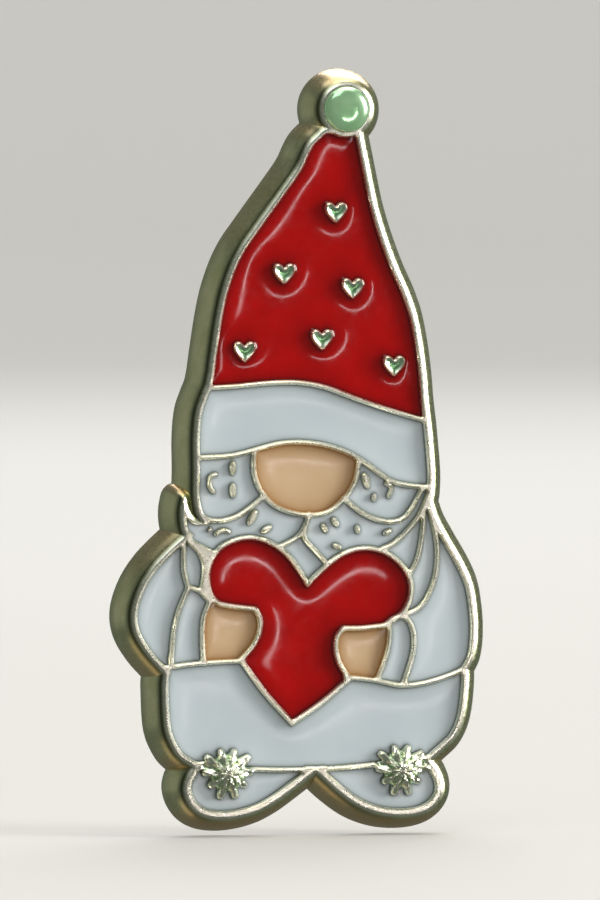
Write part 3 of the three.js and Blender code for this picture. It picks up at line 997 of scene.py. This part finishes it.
def turned(name, profile, segments, node, material, centre=(0.0, 0.0), ripple=0.0):
    """A piece turned about the front-to-back axis from (radius, height) points in millimetres. It is closed
    where the profile starts and ends on the axis, or comes back to its first point."""
    turn = 2 * math.pi * np.arange(segments) / segments
    wave = ripple * (np.sin(3 * turn + 0.7) + 0.6 * np.sin(7 * turn))
    vertices, faces, rings = [], [], []
    for radius, height in profile:
        tip = radius < ON_AXIS
        rings.append((len(vertices), tip))
        for k in range(1 if tip else segments):
            out = radius * (1 + wave[k])
            x, z = centre[0] + out * math.cos(turn[k]), centre[1] + out * math.sin(turn[k])
            vertices.append((x, height, z))
    for (first, first_tip), (second, second_tip) in zip(rings, rings[1:]):
        for k in range(segments):
            after = (k + 1) % segments
            if first_tip:
                faces.append((first, second + after, second + k))
            elif second_tip:
                faces.append((first + k, first + after, second))
            else:
                faces.append((first + k, first + after, second + after, second + k))
    piece = make_piece(name, np.array(vertices), faces, [node], [material])
    sharpen(piece, TURNED_SHARP)
    return piece


def make_bead():
    """The hat's pompom: a low dome with a flatter middle and a rounded shoulder."""
    low, high = (np.array(corner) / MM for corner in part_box("hat_pompom"))
    centre = (low + high)[[0, 2]] / 2
    radius = (high[0] - low[0]) / 2
    base, rise = -high[1], high[1] - low[1]
    profile = [(0.0, base)]
    for k in range(BEAD_STEPS):
        turn = math.pi / 2 * k / BEAD_STEPS
        across, up = math.cos(turn) ** BEAD_SQUARE, math.sin(turn) ** BEAD_SQUARE
        profile.append((radius * across, base + rise * up))
    profile.append((0.0, base + rise))
    turned("pompom_bead", profile, BEAD_SIDES, "hat_pompom", green_metal(), centre)


def make_tack():
    """The tack: a flange with a rounded edge, a fillet, a straight shank with grip rings, and a point."""
    low, high = (np.array(corner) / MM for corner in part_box("spike"))
    flange, length, root = high[0], high[1], low[1]
    back = root + FLANGE_THICKNESS
    groove = SHANK_RADIUS - GRIP_DEPTH
    profile = [(0.0, -root), (flange - 0.05, -root), (flange, -root - 0.05), (flange, -back + 0.08)]
    profile += [(flange - 0.03, -back + 0.02), (flange - 0.1, -back), (SHANK_RADIUS + FILLET, -back)]
    profile += [(SHANK_RADIUS + FILLET * (1 - math.sin(t)), -back - FILLET * (1 - math.cos(t)))
                for t in np.linspace(0.3, math.pi / 2, 6)]
    for k in range(GRIP_RINGS):
        start = length - GRIP_START + GRIP_STEP * k
        profile += [(SHANK_RADIUS, -start), (groove, -start - 0.06), (groove, -start - 0.16)]
        profile += [(SHANK_RADIUS, -start - 0.24)]
    profile += [(SHANK_RADIUS + wide, above - length) for wide, above in POINT_SHOULDER]
    profile += [(radius, above - length) for radius, above in POINT_TIP]
    turned("tack", profile, TACK_SIDES, "spike", tack_metal())


def make_solder():
    """A ring of solder that has flowed round the flange, a little uneven."""
    low, high = (np.array(corner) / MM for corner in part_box("solder"))
    outer, inner = high[0] * SOLDER_INSET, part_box("spike")[1][0] / MM
    base, rise = -low[1], high[1] - low[1]
    profile = []
    for t in np.linspace(0, 1, SOLDER_STEPS + 1):
        sag = SOLDER_FOOT + (1 - SOLDER_FOOT) * t**SOLDER_HOLLOW
        profile.append((outer - (outer - inner) * t, base - rise * sag))
    profile += [(inner, base), (outer, base), profile[0]]
    turned("solder_ring", profile, SOLDER_SIDES, "solder", solder_metal(), ripple=SOLDER_RIPPLE)


# ---------------------------------------------------------------- the studio

def plain_surface(name, vertices, faces, colour):
    """A matt studio surface. It isn't seen in the pin's polish and doesn't block the light from below."""
    mesh = bpy.data.meshes.new(name)
    mesh.from_pydata(vertices, [], faces)
    mesh.shade_smooth()
    surface = bpy.data.objects.new(name, mesh)
    surface.visible_glossy = False
    surface.visible_shadow = False
    bpy.context.scene.collection.objects.link(surface)
    material, nodes, links, shader = new_material(name)
    cloud = noise(nodes, links, 3.0, 2.0)
    shaded = tuple(STUDIO_CLOUDING * c for c in colour[:3]) + (1,)
    links.new(ramp(nodes, links, cloud, [(0.3, shaded), (0.7, colour)]), shader.inputs["Base Color"])
    shader.inputs["Roughness"].default_value = 0.8
    shader.inputs["Specular IOR Level"].default_value = 0.1
    shader.inputs["Emission Color"].default_value = colour
    shader.inputs["Emission Strength"].default_value = STUDIO_GLOW
    mesh.materials.append(material)


def make_studio():
    """A round pale floor that sweeps up into a wall on every side."""
    ground = cad_box[0][2] - STUDIO_DROP
    profile = [(STUDIO_MIDDLE, 0.0)]
    for k in range(STUDIO_STEPS + 1):
        turn = math.pi / 2 * k / STUDIO_STEPS
        profile.append((STUDIO_FLOOR + STUDIO_BEND * math.sin(turn), STUDIO_BEND * (1 - math.cos(turn))))
    profile.append((STUDIO_FLOOR + STUDIO_BEND, STUDIO_WALL))
    vertices = [(0.0, 0.0, ground)]
    for radius, height in profile:
        for k in range(STUDIO_SIDES):
            turn = 2 * math.pi * k / STUDIO_SIDES
            vertices.append((radius * math.cos(turn), radius * math.sin(turn), ground + height))
    faces = [(0, 1 + k, 1 + (k + 1) % STUDIO_SIDES) for k in range(STUDIO_SIDES)]
    for ring in range(len(profile) - 1):
        faces += strip(1 + (ring + 1) * STUDIO_SIDES, 1 + ring * STUDIO_SIDES, STUDIO_SIDES)
    plain_surface("studio_floor", vertices, faces, STUDIO_COLOUR)
    world = bpy.data.worlds.new("studio")
    world.use_nodes = True
    world.node_tree.nodes["Background"].inputs["Color"].default_value = WORLD_COLOUR
    world.node_tree.nodes["Background"].inputs["Strength"].default_value = WORLD_STRENGTH
    bpy.context.scene.world = world
    bpy.context.scene.view_settings.view_transform = "Standard"


def outwards(azimuth, elevation):
    """The direction away from the pin. Azimuth runs from the pin's front towards its right, in degrees."""
    turn, climb = math.radians(azimuth), math.radians(elevation)
    return Vector((math.sin(turn) * math.cos(climb), -math.cos(turn) * math.cos(climb), math.sin(climb)))


def soft_light(name, azimuth, elevation, distance, size, radiance, colour, roll=0.0):
    """A rectangular light that faces the pin."""
    away = outwards(azimuth, elevation)
    lamp = bpy.data.lights.new(name, "AREA")
    lamp.shape = "RECTANGLE"
    lamp.size, lamp.size_y = size
    lamp.energy = radiance * math.pi * size[0] * size[1]
    lamp.color = colour
    light = bpy.data.objects.new(name, lamp)
    light.location = Vector(LIT_POINT) + away * distance
    facing = away.to_track_quat("Z", "Y")
    light.rotation_euler = (facing @ Quaternion((0, 0, 1), math.radians(roll))).to_euler()
    bpy.context.scene.collection.objects.link(light)


def make_lights():
    for name, light in LIGHTS.items():
        soft_light(name, *light)
    make_contour_lights()


def make_contour_lights():
    """A chain of narrow strips below and to the right of the mirror direction. They draw thin lines on the
    slopes of the enamel."""
    for k in range(CONTOUR_COUNT):
        turn = CONTOUR_START + CONTOUR_STEP * k
        azimuth = MIRROR[0] + CONTOUR_OFFSET * math.cos(math.radians(turn))
        elevation = MIRROR[1] + CONTOUR_OFFSET * math.sin(math.radians(turn))
        soft_light(f"contour_{k}", azimuth, elevation, *CONTOUR_LIGHT, roll=turn + 90)


def make_camera():
    """The camera stands a little to the pin's left and hardly above it, far off for little perspective."""
    centre = (cad_box[0] + cad_box[1]) / 2
    target = Vector((centre[0], -TOP * MM / 2, centre[2]))
    away = outwards(*VIEW)
    data = bpy.data.cameras.new("camera")
    camera = bpy.data.objects.new("camera", data)
    camera.location = target + away * VIEW_DISTANCE
    camera.rotation_euler = (-away).to_track_quat("-Z", "Y").to_euler()
    height = cad_box[1][2] - cad_box[0][2]
    data.lens = data.sensor_width * VIEW_DISTANCE / (height * VIEW_MARGIN)
    bpy.context.scene.collection.objects.link(camera)
    bpy.context.scene.camera = camera


# ---------------------------------------------------------------- build

def build():
    outer, walls = read_outlines()
    wall_edges, outer_edges = Edges(walls), Edges([outer])
    extra = surface_points(outer, walls, wall_edges, outer_edges)
    points, faces = triangulated([outer] + walls, extra)
    middles = points[faces].mean(axis=1)
    depth = inside_count(middles, [outer] + walls)
    make_plate(outer, walls, points, faces[depth % 2 == 1], wall_edges, outer_edges)
    make_pools(points, faces[(depth > 0) & (depth % 2 == 0)], wall_edges)
    make_bead()
    make_tack()
    make_solder()


build()
make_studio()
make_lights()
make_camera()
